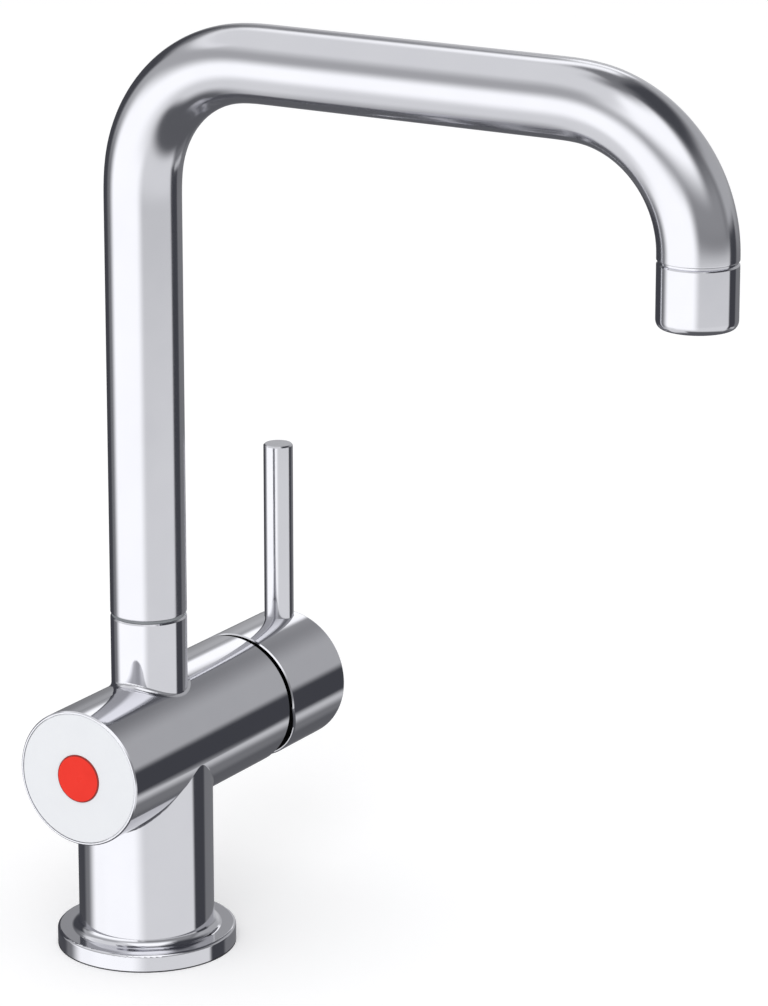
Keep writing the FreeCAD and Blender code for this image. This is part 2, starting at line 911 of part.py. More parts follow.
def handle_hub():
    """Cap with a square socket for the stem, a cut-back lower half and the lever's seat."""
    rim_bore_r = barrel_r - hub_rim_wall
    rim_x = hub_x + hub_rim_depth
    hub = along_barrel([
        (hub_x, rim_bore_r),
        (hub_x, barrel_r),
        (hub_end_x, barrel_r),
        (hub_end_x, 0),
        (hub_boss_x, 0),
        (hub_boss_x, hub_boss_radius),
        (hub_cavity_x, hub_boss_radius),
        (hub_cavity_x, hub_bore_r),
        (rim_x, hub_bore_r),
        (rim_x, rim_bore_r),
    ])
    hub = hub.makeFillet(hub_round, circles_at(hub, barrel_r, hub_end_x, ACROSS))
    hub = hub.cut(relief_wedge())
    hub = hub.makeChamfer(hub_chamfer, hub_edges(hub))
    half = stem_width / 2 + seat_fit
    socket = Part.makeBox(
        hub_socket_depth + overrun, 2 * half, 2 * half,
        V(hub_boss_x - overrun, -half, barrel_height - half))
    stud_foot_z = lever_seat_z - lever_stud_length - free_gap
    top_z = barrel_height + barrel_r + overrun
    screw_x = hub_screw_place_x
    axis_z = barrel_height
    plug_top_z = axis_z - hub_bore_r + overrun
    return cut_all(hub, [
        socket,
        rod_up(lever_r + seat_fit, lever_seat_z, top_z, lever_x),
        rod_up(lever_stud_radius + seat_fit, stud_foot_z, top_z, lever_x),
        rod_up(hub_screw_radius + seat_fit, axis_z - hub_boss_radius - overrun, axis_z, screw_x),
        rod_up(hub_plug_radius + seat_fit, axis_z - barrel_r - overrun, plug_top_z, screw_x),
    ])


def lever_rod():
    """Slim upright rod with the stud that screws into the hub."""
    return upright([
        (0, lever_seat_z - lever_stud_length),
        (lever_stud_radius, lever_seat_z - lever_stud_length),
        (lever_stud_radius, lever_seat_z),
        (lever_r, lever_seat_z),
        (lever_r, lever_top - lever_chamfer),
        (lever_r - lever_chamfer, lever_top),
        (0, lever_top),
    ], lever_x)


def hub_screw():
    """Grub screw that clamps the hub to the stem."""
    foot_z = barrel_height - hub_boss_radius
    head_z = barrel_height - stem_width / 2
    screw = rod_up(hub_screw_radius, foot_z, head_z, hub_screw_place_x)
    return screw.cut(hexagon(hex_socket, V(hub_screw_place_x, 0, foot_z), UP, hex_depth))


def hub_plug():
    """Plug that closes the screw's access hole flush with the hub."""
    top_z = barrel_height - barrel_r + hub_plug_length
    plug = rod_up(hub_plug_radius, barrel_height - barrel_r - overrun, top_z, hub_screw_place_x)
    return plug.common(rod_along(barrel_r, hub_x, hub_end_x))


def bent_bar(radius):
    """Solid bar along the spout's line: up, across and down to the outlet."""
    far_y = -spout_reach
    rise = rod_up(radius, spout_foot_z, bend_z, spout_offset)
    run = Part.makeCylinder(
        radius, spout_reach - 2 * bend_radius, V(spout_offset, -bend_radius, spout_rise), -BACK)
    drop = rod_up(radius, tube_end_z, bend_z, spout_offset, far_y)
    bar = rise.fuse(run).fuse(drop)
    for y, centre_y, turn in ((0.0, -bend_radius, 90), (far_y, far_y + bend_radius, -90)):
        section = Part.Face(Part.Wire([Part.Circle(V(spout_offset, y, bend_z), UP, radius).toShape()]))
        bar = bar.fuse(section.revolve(V(spout_offset, centre_y, bend_z), ACROSS, turn))
    return bar.removeSplitter()


def spout_tube():
    """Bent tube of even wall."""
    return bent_bar(spout_r).cut(bent_bar(spout_bore_r))


def stop_slot():
    """Sector cut round the front of the spigot's back half, in which the stop screw runs."""
    half_span = swivel_range + math.degrees(math.asin((stop_screw_radius + free_gap) / slot_floor_r))
    half_height = stop_screw_radius + free_gap
    section = Part.Face(Part.makePolygon([
        V(spout_offset + slot_floor_r, 0, stop_z - half_height),
        V(spout_offset + spout_r, 0, stop_z - half_height),
        V(spout_offset + spout_r, 0, stop_z + half_height),
        V(spout_offset + slot_floor_r, 0, stop_z + half_height),
        V(spout_offset + slot_floor_r, 0, stop_z - half_height),
    ]))
    axis_point = V(spout_offset, 0, 0)
    section.rotate(axis_point, UP, 90 - half_span)
    return section.revolve(axis_point, UP, 2 * half_span)


def spout_spigot():
    """Turned insert in the spout's foot that swivels in the neck."""
    grip_r = spout_bore_r - seat_fit
    spigot = upright([
        (spigot_bore_r, spigot_foot_z),
        (spigot_r, spigot_foot_z),
        (spigot_r, spout_foot_z),
        (grip_r, spout_foot_z),
        (grip_r, spout_foot_z + spigot_grip),
        (spigot_bore_r, spout_foot_z + spigot_grip),
    ], spout_offset)
    floor_r = spigot_r - seal_section
    half = seal_section / 2 + assembly_gap
    for z in seal_heights:
        groove = upright(
            [(floor_r, z - half), (spout_r, z - half), (spout_r, z + half), (floor_r, z + half)],
            spout_offset)
        spigot = spigot.cut(groove)
    return spigot.cut(stop_slot())


def spigot_seals():
    """Two rubber rings in the spigot's grooves, with an eight-sided section."""
    half = seal_section / 2
    flat = half * math.tan(math.radians(22.5))
    middle_r = spigot_r - half
    section = [(half, -flat), (half, flat), (flat, half), (-flat, half),
               (-half, flat), (-half, -flat), (-flat, -half), (flat, -half)]
    rings = []
    for z in seal_heights:
        rings.append(upright([(middle_r + r, z + rise) for r, rise in section], spout_offset))
    return Part.makeCompound(rings)


def slide_ring():
    """Thin slide ring between neck and spout, set back from both."""
    inner = neck_bore_r + free_gap
    return upright(
        [(inner, neck_top), (joint_r, neck_top), (joint_r, spout_foot_z), (inner, spout_foot_z)],
        spout_offset)


def stop_screw():
    """Grub screw at the back of the neck that keeps the spout in and stops its turn."""
    tip_y = slot_floor_r + free_gap
    head_y = spout_r - free_gap
    screw = Part.makeCylinder(stop_screw_radius, head_y - tip_y, V(spout_offset, tip_y, stop_z), BACK)
    return screw.cut(hexagon(hex_socket, V(spout_offset, head_y, stop_z), -BACK, hex_depth))


def at_outlet(profile):
    """Turned piece on the outlet's axis."""
    return upright(profile, spout_offset, -spout_reach)


def outlet_nipple():
    """Threaded nipple brazed to the tube's end, whose flange shows as a joint line."""
    thread_r = outlet_bore_r - seat_fit
    bore_r = thread_r - nipple_wall
    return at_outlet([
        (bore_r, nipple_foot_z),
        (thread_r, nipple_foot_z),
        (thread_r, aerator_top_z),
        (joint_r, aerator_top_z),
        (joint_r, tube_end_z),
        (bore_r, tube_end_z),
    ])


def aerator_housing():
    """Screwed sleeve at the outlet with a bevelled foot and a lip for the insert."""
    return at_outlet([
        (lip_r, aerator_foot_z),
        (spout_r - aerator_bevel_width, aerator_foot_z),
        (spout_r, aerator_foot_z + aerator_bevel_height),
        (spout_r, aerator_top_z - aerator_chamfer),
        (spout_r - aerator_chamfer, aerator_top_z),
        (outlet_bore_r, aerator_top_z),
        (outlet_bore_r, insert_z),
        (lip_r, insert_z),
    ])


def cell_centres(pitch):
    """Centres of a six-sided grid of cells round the outlet's axis."""
    centres = []
    for column in range(-cell_rings, cell_rings + 1):
        for row in range(-cell_rings, cell_rings + 1):
            if abs(column + row) <= cell_rings:
                x = spout_offset + pitch * (column + row / 2)
                centres.append((x, -spout_reach + pitch * row * flats_ratio / 2))
    return centres


def aerator_insert():
    """Stream former with a honeycomb of six-sided cells."""
    nose_r = lip_r - assembly_gap
    bore_r = insert_r - insert_wall
    foot_z = aerator_foot_z + aerator_recess
    grid_z = foot_z + cell_depth
    insert = at_outlet([
        (0, foot_z),
        (nose_r, foot_z),
        (nose_r, insert_z),
        (insert_r, insert_z),
        (insert_r, jet_plate_z),
        (bore_r, jet_plate_z),
        (bore_r, grid_z),
        (0, grid_z),
    ])
    pitch = bore_r / (cell_rings + 0.5)
    corner_r = (pitch - cell_wall) / flats_ratio
    depth = cell_depth + 2 * overrun
    cells = []
    for x, y in cell_centres(pitch):
        cells.append(hexagon(corner_r, V(x, y, foot_z - overrun), UP, depth))
    return insert.cut(Part.makeCompound(cells))


def jet_plate():
    """Plate whose ring of small holes makes the jets."""
    plate = rod_up(insert_r, jet_plate_z, washer_z, spout_offset, -spout_reach)
    jets = []
    for number in range(jet_count):
        angle = 2 * math.pi * number / jet_count
        x = spout_offset + jet_circle * math.cos(angle)
        y = -spout_reach + jet_circle * math.sin(angle)
        jets.append(rod_up(jet_radius, jet_plate_z - overrun, washer_z + overrun, x, y))
    return plate.cut(Part.makeCompound(jets))


def aerator_washer():
    """Rubber washer between nipple and insert."""
    inner = outlet_bore_r - seat_fit - nipple_wall
    return at_outlet([
        (inner, washer_z), (insert_r, washer_z), (insert_r, nipple_foot_z), (inner, nipple_foot_z)])


pieces = {
    "tap_body": tap_body(),
    "base_gasket": base_gasket(),
    "lead_grommet": lead_grommet(),
    "sensor_face": sensor_face(),
    "sensor_window": sensor_window(),
    "face_seal": face_seal(),
    "sensor_cup": sensor_cup(),
    "sensor_board": sensor_board(),
    "led_holder": led_holder(),
    "ir_emitter": diode(-led_spread),
    "ir_receiver": diode(led_spread),
    "coil_pins": coil_pins(),
    "coil_bobbin": coil_bobbin(),
    "coil_winding": coil_winding(),
    "coil_yoke": coil_yoke(),
    "guide_tube": guide_tube(),
    "fixed_core": fixed_core(),
    "plunger": plunger(),
    "plunger_spring": plunger_spring(),
    "diaphragm": diaphragm(),
    "cartridge_base": cartridge_base(),
    "cartridge_seals": cartridge_seals(),
    "fixed_disc": fixed_disc(),
    "moving_disc": moving_disc(),
    "disc_slider": disc_slider(),
    "cartridge_housing": cartridge_housing(),
    "turning_collar": turning_collar(),
    "pivot_pin": pivot_pin(),
    "stem": stem(),
    "retaining_nut": retaining_nut(),
    "cover_sleeve": cover_sleeve(),
    "handle_hub": handle_hub(),
    "lever_rod": lever_rod(),
    "hub_screw": hub_screw(),
    "hub_plug": hub_plug(),
    "spout_tube": spout_tube(),
    "spout_spigot": spout_spigot(),
    "spigot_seals": spigot_seals(),
    "slide_ring": slide_ring(),
    "stop_screw": stop_screw(),
    "outlet_nipple": outlet_nipple(),
    "aerator_housing": aerator_housing(),
    "aerator_insert": aerator_insert(),
    "jet_plate": jet_plate(),
    "aerator_washer": aerator_washer(),
}

os.makedirs("parts", exist_ok=True)
for name, shape in pieces.items():
    shape.exportStep("parts/" + name + ".step")
    print(name, "solids", len(shape.Solids), "valid", shape.isValid(), "volume", round(shape.Volume, 1))
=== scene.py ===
"""Sensor kitchen tap: finishes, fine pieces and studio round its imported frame, in metres."""

import functools
import logging
import math
from dataclasses import dataclass
from enum import Enum
from typing import Any, ClassVar

import bpy
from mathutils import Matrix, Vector


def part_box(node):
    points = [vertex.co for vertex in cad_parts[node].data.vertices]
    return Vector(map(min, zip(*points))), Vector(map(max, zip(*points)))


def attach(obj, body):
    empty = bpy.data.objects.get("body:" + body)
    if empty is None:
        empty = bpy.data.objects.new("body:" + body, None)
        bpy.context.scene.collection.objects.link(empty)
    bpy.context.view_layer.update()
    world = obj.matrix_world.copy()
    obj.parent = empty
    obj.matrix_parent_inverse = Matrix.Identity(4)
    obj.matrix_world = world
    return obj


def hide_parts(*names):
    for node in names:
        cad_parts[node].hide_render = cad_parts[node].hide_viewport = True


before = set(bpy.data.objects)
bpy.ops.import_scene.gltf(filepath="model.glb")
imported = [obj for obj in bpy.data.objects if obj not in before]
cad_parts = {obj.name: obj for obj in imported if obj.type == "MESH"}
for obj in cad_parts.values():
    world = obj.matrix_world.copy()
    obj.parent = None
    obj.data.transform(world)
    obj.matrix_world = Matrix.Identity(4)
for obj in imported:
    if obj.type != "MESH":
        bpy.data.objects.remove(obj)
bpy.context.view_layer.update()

MM = 0.001
PER_MM = 1 / MM
IMAGE_WIDTH = 768
IMAGE_HEIGHT = 1006
SMOOTH_BELOW = math.radians(35)
MERGE_WITHIN = 0.001 * MM
WHITE = (1.0, 1.0, 1.0, 1.0)
log = logging.getLogger("kitchen_tap")


@dataclass(frozen=True)
class Extent:
    """Box of a CAD node in metres.

    Attributes:
        low: Lowest corner.
        high: Highest corner.
    """

    low: Vector
    high: Vector

    @classmethod
    def of(cls, node: str) -> "Extent":
        """Measure a node to a tenth of a millimetre, which frees it of its facets' error.

        Args:
            node: Name of the CAD node.

        Returns:
            The node's box.
        """
        return cls(*(Vector([round(v * PER_MM, 1) * MM for v in corner]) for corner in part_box(node)))

    @property
    def middle(self) -> Vector:
        """Middle of the box."""
        return (self.low + self.high) / 2


FACE = Extent.of("sensor_face")
TUBE = Extent.of("spout_tube")
NIPPLE = Extent.of("outlet_nipple")
SLEEVE = Extent.of("aerator_housing")
INSERT = Extent.of("aerator_insert")


def linear(colour: str) -> tuple[float, float, float, float]:
    """Turn an sRGB hex colour to linear RGBA.

    Args:
        colour: Colour such as "#E6E8EB".

    Returns:
        Linear red, green, blue and an alpha of one.
    """
    parts = [int(colour[i:i + 2], 16) / 255 for i in (1, 3, 5)]
    straight = [p / 12.92 if p <= 0.04045 else ((p + 0.055) / 1.055) ** 2.4 for p in parts]
    return (*straight, 1.0)


def add_node(
    tree: bpy.types.NodeTree,
    kind: str,
    settings: dict[str | int, Any] | None = None,
    links: dict[str | int, bpy.types.NodeSocket] | None = None,
) -> bpy.types.Node:
    """Add a node with its settings and links.

    Args:
        tree: Tree that the node goes into.
        kind: Node type.
        settings: Values by property name, input name or input number.
        links: Output sockets by the input that they feed.

    Returns:
        The new node.
    """
    made = tree.nodes.new(kind)
    for key, value in (settings or {}).items():
        if isinstance(key, str) and key in made.bl_rna.properties:
            setattr(made, key, value)
        else:
            made.inputs[key].default_value = value
    for key, socket in (links or {}).items():
        tree.links.new(socket, made.inputs[key])
    return made


# Octaves of the noise that draws patches of tone and gloss, and the part of its range that shows.
PATCH_DETAIL = 3.0
PATCH_RANGE = (0.3, 0.7)
# Share of each octave in the next, in the noise that draws a relief.
GRAIN_ROUGHNESS = 0.55
# Board tracks against their pitch: the gap between two, how soft its edge is, and the length.
TRACK_GAP = 0.12
TRACK_EDGE = 0.4
TRACK_LENGTH = 1.6


class Relief(Enum):
    """How a surface was made, which gives its relief."""

    POLISHED = "buffed metal with long soft waves"
    TURNED = "lathe rings about an axis"
    MOULDED = "spark-eroded texture of a mould"
    GROUND = "fired or ground grain"
    WOUND = "round wires side by side"
    TRACKS = "board tracks under a mask"

    @property
    def octaves(self) -> float:
        """Octaves of the noise that draws this relief."""
        return {Relief.POLISHED: 1.0, Relief.MOULDED: 4.0, Relief.GROUND: 6.0}[self]


class Axis(Enum):
    """Line that a turned or wound piece was made about, in millimetres."""

    COLUMN = ((0.0, 0.0, 0.0), (0.0, 0.0, 0.0))
    BARREL = ((0.0, 0.0, FACE.middle.z * PER_MM), (0.0, 90.0, 0.0))
    SPOUT = ((TUBE.middle.x * PER_MM, 0.0, 0.0), (0.0, 0.0, 0.0))
    OUTLET = ((SLEEVE.middle.x * PER_MM, SLEEVE.middle.y * PER_MM, 0.0), (0.0, 0.0, 0.0))

    @property
    def point(self) -> tuple[float, float, float]:
        """Point on the line."""
        return self.value[0]

    @property
    def turn(self) -> tuple[float, float, float]:
        """Euler angles that bring the line to Z."""
        return tuple(math.radians(a) for a in self.value[1])


@dataclass(frozen=True)
class Zone:
    """A zone about the finish's axis where another tone shows.

    Attributes:
        inner_mm: Radius that it starts at.
        outer_mm: Radius that it ends at.
        end_mm: Where it ends along the axis.
        tone: Colour there.
        rough: Roughness there.
    """

    inner_mm: float
    outer_mm: float
    end_mm: float
    tone: str
    rough: float


@dataclass(frozen=True)
class Finish:
    """A finish whose tone, gloss and relief vary over the surface.

    Attributes:
        name: Material and how its surface was made.
        tone: Main colour.
        shade: Colour that the patches drift towards.
        rough: Lowest and highest roughness.
        relief: Kind of relief.
        pitch_mm: Spacing of the relief.
        depth_mm: Depth of the relief.
        patch_mm: Size of the patches of tone and gloss.
        metallic: One for a metal.
        ior: Index of refraction; a metal keeps the default.
        specular: Share of the usual surface gloss.
        axis: Line that a turned or wound piece was made about.
        zones: Hollows, edges and rims that look different: bare metal, or painted shade.
    """

    name: str
    tone: str
    shade: str
    rough: tuple[float, float]
    relief: Relief
    pitch_mm: float
    depth_mm: float
    patch_mm: float = 12.0
    metallic: float = 0.0
    ior: float = 1.5
    specular: float = 0.5
    axis: Axis = Axis.BARREL
    zones: tuple[Zone, ...] = ()

    def cover(
        self, tree: bpy.types.NodeTree, place: bpy.types.NodeSocket, zone: Zone
    ) -> bpy.types.NodeSocket:
        """Tell a zone from the rest of the surface.

        Args:
            tree: The material's node tree.
            place: Position on the piece in millimetres.
            zone: The zone.

        Returns:
            Socket that gives one inside the zone and nought outside.
        """
        along, radius = self.about_axis(tree, place)
        tests = (
            ("LESS_THAN", along, zone.end_mm),
            ("LESS_THAN", radius, zone.outer_mm),
            ("GREATER_THAN", radius, zone.inner_mm),
        )
        ended, within, beyond = (
            add_node(tree, "ShaderNodeMath", {"operation": kind, 1: limit}, {0: span}).outputs["Value"]
            for kind, span, limit in tests
        )
        ring = add_node(tree, "ShaderNodeMath", {"operation": "MULTIPLY"}, {0: within, 1: beyond})
        both = add_node(
            tree, "ShaderNodeMath", {"operation": "MULTIPLY"}, {0: ended, 1: ring.outputs["Value"]}
        )
        return both.outputs["Value"]

    def about_axis(
        self, tree: bpy.types.NodeTree, place: bpy.types.NodeSocket
    ) -> tuple[bpy.types.NodeSocket, bpy.types.NodeSocket]:
        """Turn a position to lathe coordinates.

        Args:
            tree: The material's node tree.
            place: Position on the piece in millimetres.

        Returns:
            Sockets with the distance along the axis and the distance from it.
        """
        turned = add_node(
            tree, "ShaderNodeMapping",
            {"vector_type": "TEXTURE", "Location": self.axis.point, "Rotation": self.axis.turn},
            {"Vector": place},
        )
        parts = add_node(tree, "ShaderNodeSeparateXYZ", links={"Vector": turned.outputs["Vector"]})
        flat = add_node(
            tree, "ShaderNodeCombineXYZ", links={"X": parts.outputs["X"], "Y": parts.outputs["Y"]}
        )
        radius = add_node(
            tree, "ShaderNodeVectorMath", {"operation": "LENGTH"}, {0: flat.outputs["Vector"]}
        )
        return parts.outputs["Z"], radius.outputs["Value"]

    def height(self, tree: bpy.types.NodeTree, place: bpy.types.NodeSocket) -> bpy.types.NodeSocket:
        """Draw the relief's height from nought to one.

        Args:
            tree: The material's node tree.
            place: Position on the piece in millimetres.

        Returns:
            Socket that gives the height.
        """
        scale = 1 / self.pitch_mm
        if self.relief in (Relief.TURNED, Relief.WOUND):
            along, radius = self.about_axis(tree, place)
            path = add_node(tree, "ShaderNodeMath", {"operation": "ADD"}, {0: along, 1: radius})
            swing = add_node(
                tree, "ShaderNodeMath",
                {"operation": "MULTIPLY", 1: math.tau * scale}, {0: path.outputs["Value"]},
            )
            wave = add_node(
                tree, "ShaderNodeMath", {"operation": "SINE"}, {0: swing.outputs["Value"]}
            )
            ridge = add_node(
                tree, "ShaderNodeMapRange", {"From Min": -1.0, "From Max": 1.0},
                {"Value": wave.outputs["Value"]},
            )
            return ridge.outputs["Result"]
        if self.relief is Relief.TRACKS:
            bricks = add_node(
                tree, "ShaderNodeTexBrick",
                {
                    "Scale": scale,
                    "Mortar Size": TRACK_GAP,
                    "Mortar Smooth": TRACK_EDGE,
                    "Brick Width": TRACK_LENGTH,
                },
                {"Vector": place},
            )
            return bricks.outputs["Fac"]
        grain = add_node(
            tree, "ShaderNodeTexNoise",
            {"Scale": scale, "Detail": self.relief.octaves, "Roughness": GRAIN_ROUGHNESS},
            {"Vector": place},
        )
        return grain.outputs["Fac"]

    def material(self) -> bpy.types.Material:
        """Make the finish's material.

        Returns:
            Material with its nodes.
        """
        made = bpy.data.materials.new(self.name)
        made.use_nodes = True
        tree = made.node_tree
        shader = tree.nodes["Principled BSDF"]
        shader.inputs["Metallic"].default_value = self.metallic
        shader.inputs["Specular IOR Level"].default_value = self.specular
        if not self.metallic:
            shader.inputs["IOR"].default_value = self.ior
        where = add_node(tree, "ShaderNodeTexCoord")
        place = add_node(
            tree, "ShaderNodeVectorMath", {"operation": "SCALE", "Scale": PER_MM},
            {0: where.outputs["Object"]},
        ).outputs["Vector"]
        height = self.height(tree, place)
        patch = add_node(
            tree, "ShaderNodeTexNoise", {"Scale": 1 / self.patch_mm, "Detail": PATCH_DETAIL},
            {"Vector": place},
        ).outputs["Fac"]
        # On wound and track reliefs the colour follows the relief: tracks read paler on a board, and
        # painted shade darkens the gaps between a coil's turns.
        follows_relief = self.relief in (Relief.WOUND, Relief.TRACKS)
        tone = add_node(
            tree, "ShaderNodeMix",
            {"data_type": "RGBA", 6: linear(self.tone), 7: linear(self.shade)},
            {0: height if follows_relief else patch},
        )
        gloss = add_node(
            tree, "ShaderNodeMapRange",
            {
                "From Min": PATCH_RANGE[0],
                "From Max": PATCH_RANGE[1],
                "To Min": self.rough[0],
                "To Max": self.rough[1],
            },
            {"Value": patch},
        )
        bump = add_node(
            tree, "ShaderNodeBump", {"Strength": 1.0, "Distance": self.depth_mm * MM},
            {"Height": height},
        )
        colour, rough = tone.outputs[2], gloss.outputs["Result"]
        # Each zone lays its own tone: bare metal, or painted shade in a hollow or along an edge.
        for zone in self.zones:
            cover = self.cover(tree, place, zone)
            colour = add_node(
                tree, "ShaderNodeMix", {"data_type": "RGBA", 7: linear(zone.tone)},
                {0: cover, 6: colour},
            ).outputs[2]
            rough = add_node(tree, "ShaderNodeMix", {3: zone.rough}, {0: cover, 2: rough}).outputs[0]
        tree.links.new(colour, shader.inputs["Base Color"])
        tree.links.new(rough, shader.inputs["Roughness"])
        tree.links.new(bump.outputs["Normal"], shader.inputs["Normal"])
        return made


@functools.cache
def material_of(finish: Finish) -> bpy.types.Material:
    """Material of a finish, made once."""
    return finish.material()


# Buffed nickel-chrome on a brass casting: a cool mirror with a faint slow wave. The well for
# the hoses is bare brass, dull and warm; along the arris on the worktop, painted shade draws a thin
# dark line.
CAST_CHROME = Finish(
    "chromed_brass_casting_buffed", "#E7E7EB", "#E1E1E6", rough=(0.05, 0.08), relief=Relief.POLISHED,
    pitch_mm=9.0, depth_mm=0.006, patch_mm=14.0, metallic=1.0, axis=Axis.COLUMN,
    zones=(
        Zone(inner_mm=0.0, outer_mm=18.2, end_mm=48.5, tone="#A98A4C", rough=0.5),
        # Painted shade: a thin dark band at the flange's foot, where it meets the worktop.
        Zone(inner_mm=18.2, outer_mm=30.0, end_mm=0.45, tone="#4A4A4E", rough=0.5),
    ),
)
# The same plate on the hub: bright outside; in the hollow behind the gap, painted shade makes it almost
# black.
HUB_CHROME = Finish(
    "chromed_brass_hub_buffed", "#E7E7EB", "#E1E1E6", rough=(0.05, 0.08), relief=Relief.POLISHED,
    pitch_mm=9.0, depth_mm=0.006, patch_mm=14.0, metallic=1.0,
    # Painted shade inside the hub's hollow and on its face at the gap.
    zones=(Zone(inner_mm=0.0, outer_mm=21.8, end_mm=80.0, tone="#1E1E20", rough=0.55),),
)
# Chrome on drawn tube: as bright as the casting, straighter, and a little softer in what it mirrors.
TUBE_CHROME = Finish(
    "chromed_drawn_tube_buffed", "#E7E7EB", "#E1E1E6", rough=(0.12, 0.16), relief=Relief.POLISHED,
    pitch_mm=14.0, depth_mm=0.004, patch_mm=22.0, metallic=1.0,
)
# Chrome over a lathe-turned sleeve or ring: only a trace of the tool's rings shows through.
TURNED_CHROME = Finish(
    "chromed_turned_brass_buffed", "#E7E7EB", "#E1E1E6", rough=(0.05, 0.08), relief=Relief.TURNED,
    pitch_mm=0.6, depth_mm=0.0001, patch_mm=9.0, metallic=1.0, axis=Axis.OUTLET,
)
# Satin-moulded white ABS: an even pale disc with a soft sheen. The grain of this and of the other
# moulded finishes is drawn coarser than the real one, which is too fine to show.
PALE_ABS = Finish(
    "white_abs_satin_moulded", "#F1F3F6", "#EDEFF3", rough=(0.36, 0.46), relief=Relief.MOULDED,
    pitch_mm=0.35, depth_mm=0.004, patch_mm=10.0, specular=0.3,
)
# Infra-red filter moulded in red polycarbonate: saturated, smooth and slightly glossy, with a
# darker red ring of painted shade round its edge, where it meets the face.
RED_FILTER = Finish(
    "red_polycarbonate_filter_moulded", "#F83A2C", "#EE3428", rough=(0.26, 0.36), relief=Relief.MOULDED,
    pitch_mm=0.8, depth_mm=0.002, patch_mm=6.0, ior=1.58, specular=0.12,
    # Painted shade: a darker ring round the window's edge.
    zones=(Zone(inner_mm=7.5, outer_mm=9.0, end_mm=0.0, tone="#A2332C", rough=0.4),),
)
# Black acetal: dense, a little greasy, with the mould's fine texture.
BLACK_ACETAL = Finish(
    "black_acetal_moulded", "#1A1A1C", "#232326", rough=(0.38, 0.52), relief=Relief.MOULDED,
    pitch_mm=0.5, depth_mm=0.008, patch_mm=5.0, ior=1.48,
)
# Grey acetal: mid grey and satin, with the mould's fine texture.
GREY_ACETAL = Finish(
    "grey_acetal_moulded", "#8C9094", "#7F8387", rough=(0.34, 0.46), relief=Relief.MOULDED,
    pitch_mm=0.5, depth_mm=0.006, patch_mm=5.0, ior=1.48,
)
# Free-cutting brass off the lathe: warm, with rings from the tool. They are drawn wider apart than
# the tool leaves them, as on the other turned finishes, so that they show.
TURNED_BRASS = Finish(
    "brass_turned", "#D9B563", "#C9A24F", rough=(0.22, 0.34), relief=Relief.TURNED,
    pitch_mm=0.5, depth_mm=0.004, patch_mm=7.0, metallic=1.0, axis=Axis.SPOUT,
)
# Stainless steel, centreless ground: grey and streaked by the wheel.
BRIGHT_STEEL = Finish(
    "stainless_steel_ground", "#C9CCD0", "#B7BABF", rough=(0.20, 0.32), relief=Relief.TURNED,
    pitch_mm=0.4, depth_mm=0.002, patch_mm=6.0, metallic=1.0,
)
# Compression-moulded EPDM: dull black with a dusty bloom.
SEAL_RUBBER = Finish(
    "epdm_rubber_moulded", "#202122", "#2C2D2E", rough=(0.62, 0.80), relief=Relief.MOULDED,
    pitch_mm=0.4, depth_mm=0.012, patch_mm=4.0, ior=1.52,
)
# Lapped alumina: off-white, dense, almost flat.
LAPPED_CERAMIC = Finish(
    "alumina_ceramic_lapped", "#EFEDE6", "#E6E3DA", rough=(0.18, 0.28), relief=Relief.GROUND,
    pitch_mm=0.2, depth_mm=0.001, patch_mm=6.0, ior=1.76,
)
# Glass-epoxy board under green mask: tracks stand up a little and read paler.
GREEN_BOARD = Finish(
    "glass_epoxy_board_masked", "#175C38", "#2F8757", rough=(0.30, 0.42), relief=Relief.TRACKS,
    pitch_mm=2.2, depth_mm=0.03, patch_mm=4.0, ior=1.55,
)
# Enamelled copper wire in close turns: red-brown, with painted shade drawn as dark lines between turns.
WOUND_COPPER = Finish(
    "copper_wire_enamelled", "#7A3A22", "#C46B41", rough=(0.24, 0.34), relief=Relief.WOUND,
    pitch_mm=0.45, depth_mm=0.12, patch_mm=5.0, metallic=1.0,
)
# Cast epoxy of a diode, dark violet and clear-skinned.
DIODE_EPOXY = Finish(
    "diode_epoxy_cast", "#2A2233", "#352B42", rough=(0.08, 0.16), relief=Relief.MOULDED,
    pitch_mm=0.9, depth_mm=0.001, patch_mm=2.0, ior=1.54,
)


def finish_piece(piece: bpy.types.Object, body: str, finish: Finish) -> None:
    """Settle a modelled piece at the origin, dress it and let it ride.

    Args:
        piece: The modelled object.
        body: CAD body that it moves with.
        finish: Its finish.
    """
    bpy.ops.object.select_all(action="DESELECT")
    piece.select_set(True)
    bpy.context.view_layer.objects.active = piece
    bpy.ops.object.transform_apply(location=True, rotation=True, scale=True)
    bpy.ops.object.shade_smooth_by_angle(angle=SMOOTH_BELOW)
    piece.data.materials.clear()
    piece.data.materials.append(material_of(finish))
    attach(piece, body)
    log.info("%s modelled with %d faces", piece.name, len(piece.data.polygons))


def apply_modifier(piece: bpy.types.Object, kind: str, settings: dict[str, Any]) -> None:
    """Add a modifier to the active piece and apply it.

    Args:
        piece: Object to change.
        kind: Modifier type.
        settings: Its values by name.
    """
    modifier = piece.modifiers.new(kind.lower(), kind)
    for key, value in settings.items():
        setattr(modifier, key, value)
    bpy.ops.object.modifier_apply(modifier=modifier.name)


@dataclass
class SubAssembly:
    """A group of pieces that is built and dressed together."""

    finishes: ClassVar[dict[str, Finish]] = {}

    def build(self) -> None:
        """Model the pieces that the frame lacks."""

    def dress(self) -> None:
        """Give each CAD node of the group its finish."""
        for name, finish in self.finishes.items():
            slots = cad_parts[name].data.materials
            slots.clear()
            slots.append(material_of(finish))
            log.info("%s dressed in %s", name, finish.name)


@dataclass
class Casting(SubAssembly):
    """Flange, column, barrel and neck in one casting, with what seals its foot."""

    finishes = {
        "tap_body": CAST_CHROME,
        "base_gasket": SEAL_RUBBER,
        "lead_grommet": SEAL_RUBBER,
    }


